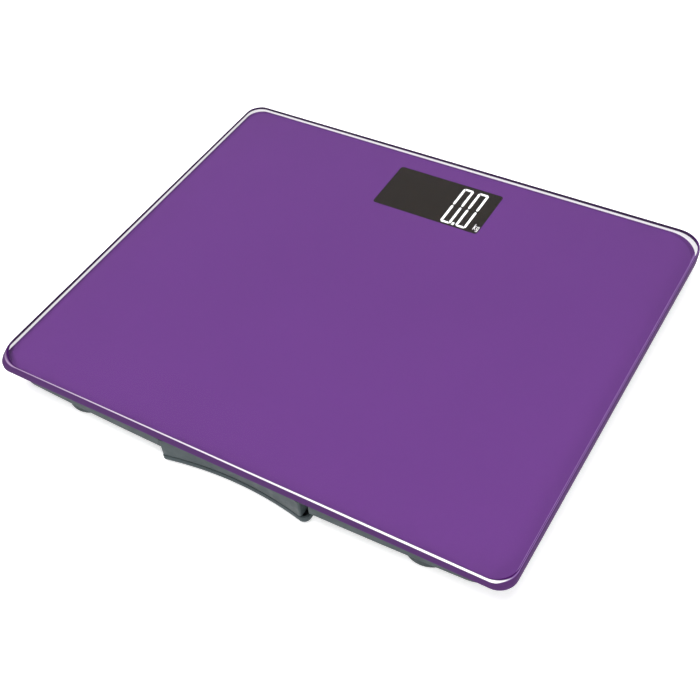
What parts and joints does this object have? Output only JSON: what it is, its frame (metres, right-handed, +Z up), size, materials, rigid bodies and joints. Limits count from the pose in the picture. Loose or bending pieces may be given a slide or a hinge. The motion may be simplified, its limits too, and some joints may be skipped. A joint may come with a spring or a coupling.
{
  "type": "bathroom scale",
  "caption": "Flat glass-topped electronic scale that a person stands on: display under the glass, sprung load-cell feet, front battery pod with a swing-down cover.",
  "frame": {"origin": "on the floor, under the middle of the platform, with the scale standing on its four pads", "axes": "+X to the user's right along the 359.5 mm width, +Y away from the user towards the display, +Z up"},
  "size_m": [0.3594, 0.3, 0.03],
  "materials": {
    "glass": "polished clear glass",
    "print": "printed purple colour layer",
    "tape": "double-sided foam tape",
    "body": "fine moulded grey plastic",
    "foot": "smooth moulded grey plastic",
    "rubber": "matt",
    "steel": "nickel-plated sheet",
    "contact": "nickel-plated spring steel",
    "screw": "zinc-plated",
    "gauge": "resin film",
    "display": "dark liquid crystal panel",
    "backlight": "milky white",
    "frame": "black moulded plastic",
    "board": "solder mask",
    "chip": "black resin",
    "wire": "white sleeve",
    "red_wire": "red sleeve",
    "black_wire": "black sleeve",
    "battery": "printed film sleeve over a metal can"
  },
  "bodies": {
    "platform": {"glass_platform": "glass", "colour_print": "print", "foam_tape": "tape", "base_shell": "body", "foot_bracket_fl": "body", "load_cell_fl": "steel", "strain_gauge_fl": "gauge", "bracket_screw_fl_1": "screw", "bracket_screw_fl_2": "screw", "load_cell_wire_fl": "wire", "foot_bracket_fr": "body", "load_cell_fr": "steel", "strain_gauge_fr": "gauge", "bracket_screw_fr_1": "screw", "bracket_screw_fr_2": "screw", "load_cell_wire_fr": "wire", "foot_bracket_bl": "body", "load_cell_bl": "steel", "strain_gauge_bl": "gauge", "bracket_screw_bl_1": "screw", "bracket_screw_bl_2": "screw", "load_cell_wire_bl": "wire", "foot_bracket_br": "body", "load_cell_br": "steel", "strain_gauge_br": "gauge", "bracket_screw_br_1": "screw", "bracket_screw_br_2": "screw", "load_cell_wire_br": "wire", "battery_housing": "body", "battery_left": "battery", "battery_right": "battery", "battery_plate_contact": "contact", "battery_spring_contact": "contact", "battery_lead_red": "red_wire", "battery_lead_black": "black_wire", "housing_screw_1": "screw", "housing_screw_2": "screw", "lcd_panel": "display", "lcd_backlight": "backlight", "lcd_frame": "frame", "main_board": "board", "board_screw_1": "screw", "board_screw_2": "screw", "board_screw_3": "screw", "board_screw_4": "screw", "controller_chip": "chip", "wire_connector": "backlight", "unit_dome": "contact"},
    "foot_fl": {"foot_disc_fl": "foot", "foot_pad_fl": "rubber"},
    "foot_fr": {"foot_disc_fr": "foot", "foot_pad_fr": "rubber"},
    "foot_bl": {"foot_disc_bl": "foot", "foot_pad_bl": "rubber"},
    "foot_br": {"foot_disc_br": "foot", "foot_pad_br": "rubber"},
    "cover": {"battery_cover": "body"},
    "button": {"unit_button": "foot"}
  },
  "joints": [
    {"name": "foot_press_fl", "type": "slide", "parent": "platform", "child": "foot_fl", "axis": [0, 0, 1], "range_m": [0, 0.0004], "stiffness_N_per_m": 60000, "deforming": ["load_cell_fl"]},
    {"name": "foot_press_fr", "type": "slide", "parent": "platform", "child": "foot_fr", "axis": [0, 0, 1], "range_m": [0, 0.0004], "stiffness_N_per_m": 60000, "deforming": ["load_cell_fr"]},
    {"name": "foot_press_bl", "type": "slide", "parent": "platform", "child": "foot_bl", "axis": [0, 0, 1], "range_m": [0, 0.0004], "stiffness_N_per_m": 60000, "deforming": ["load_cell_bl"]},
    {"name": "foot_press_br", "type": "slide", "parent": "platform", "child": "foot_br", "axis": [0, 0, 1], "range_m": [0, 0.0004], "stiffness_N_per_m": 60000, "deforming": ["load_cell_br"]},
    {"name": "battery_cover_hinge", "type": "hinge", "parent": "platform", "child": "cover", "pos_m": [0, -0.1142, 0.0086], "axis": [1, 0, 0], "range_deg": [0, 100]},
    {"name": "unit_button_press", "type": "slide", "parent": "platform", "child": "button", "axis": [0, 0, 1], "range_m": [0, 0.0006], "stiffness_N_per_m": 3000, "springref_m": -0.0001, "deforming": ["unit_dome"]}
  ]
}
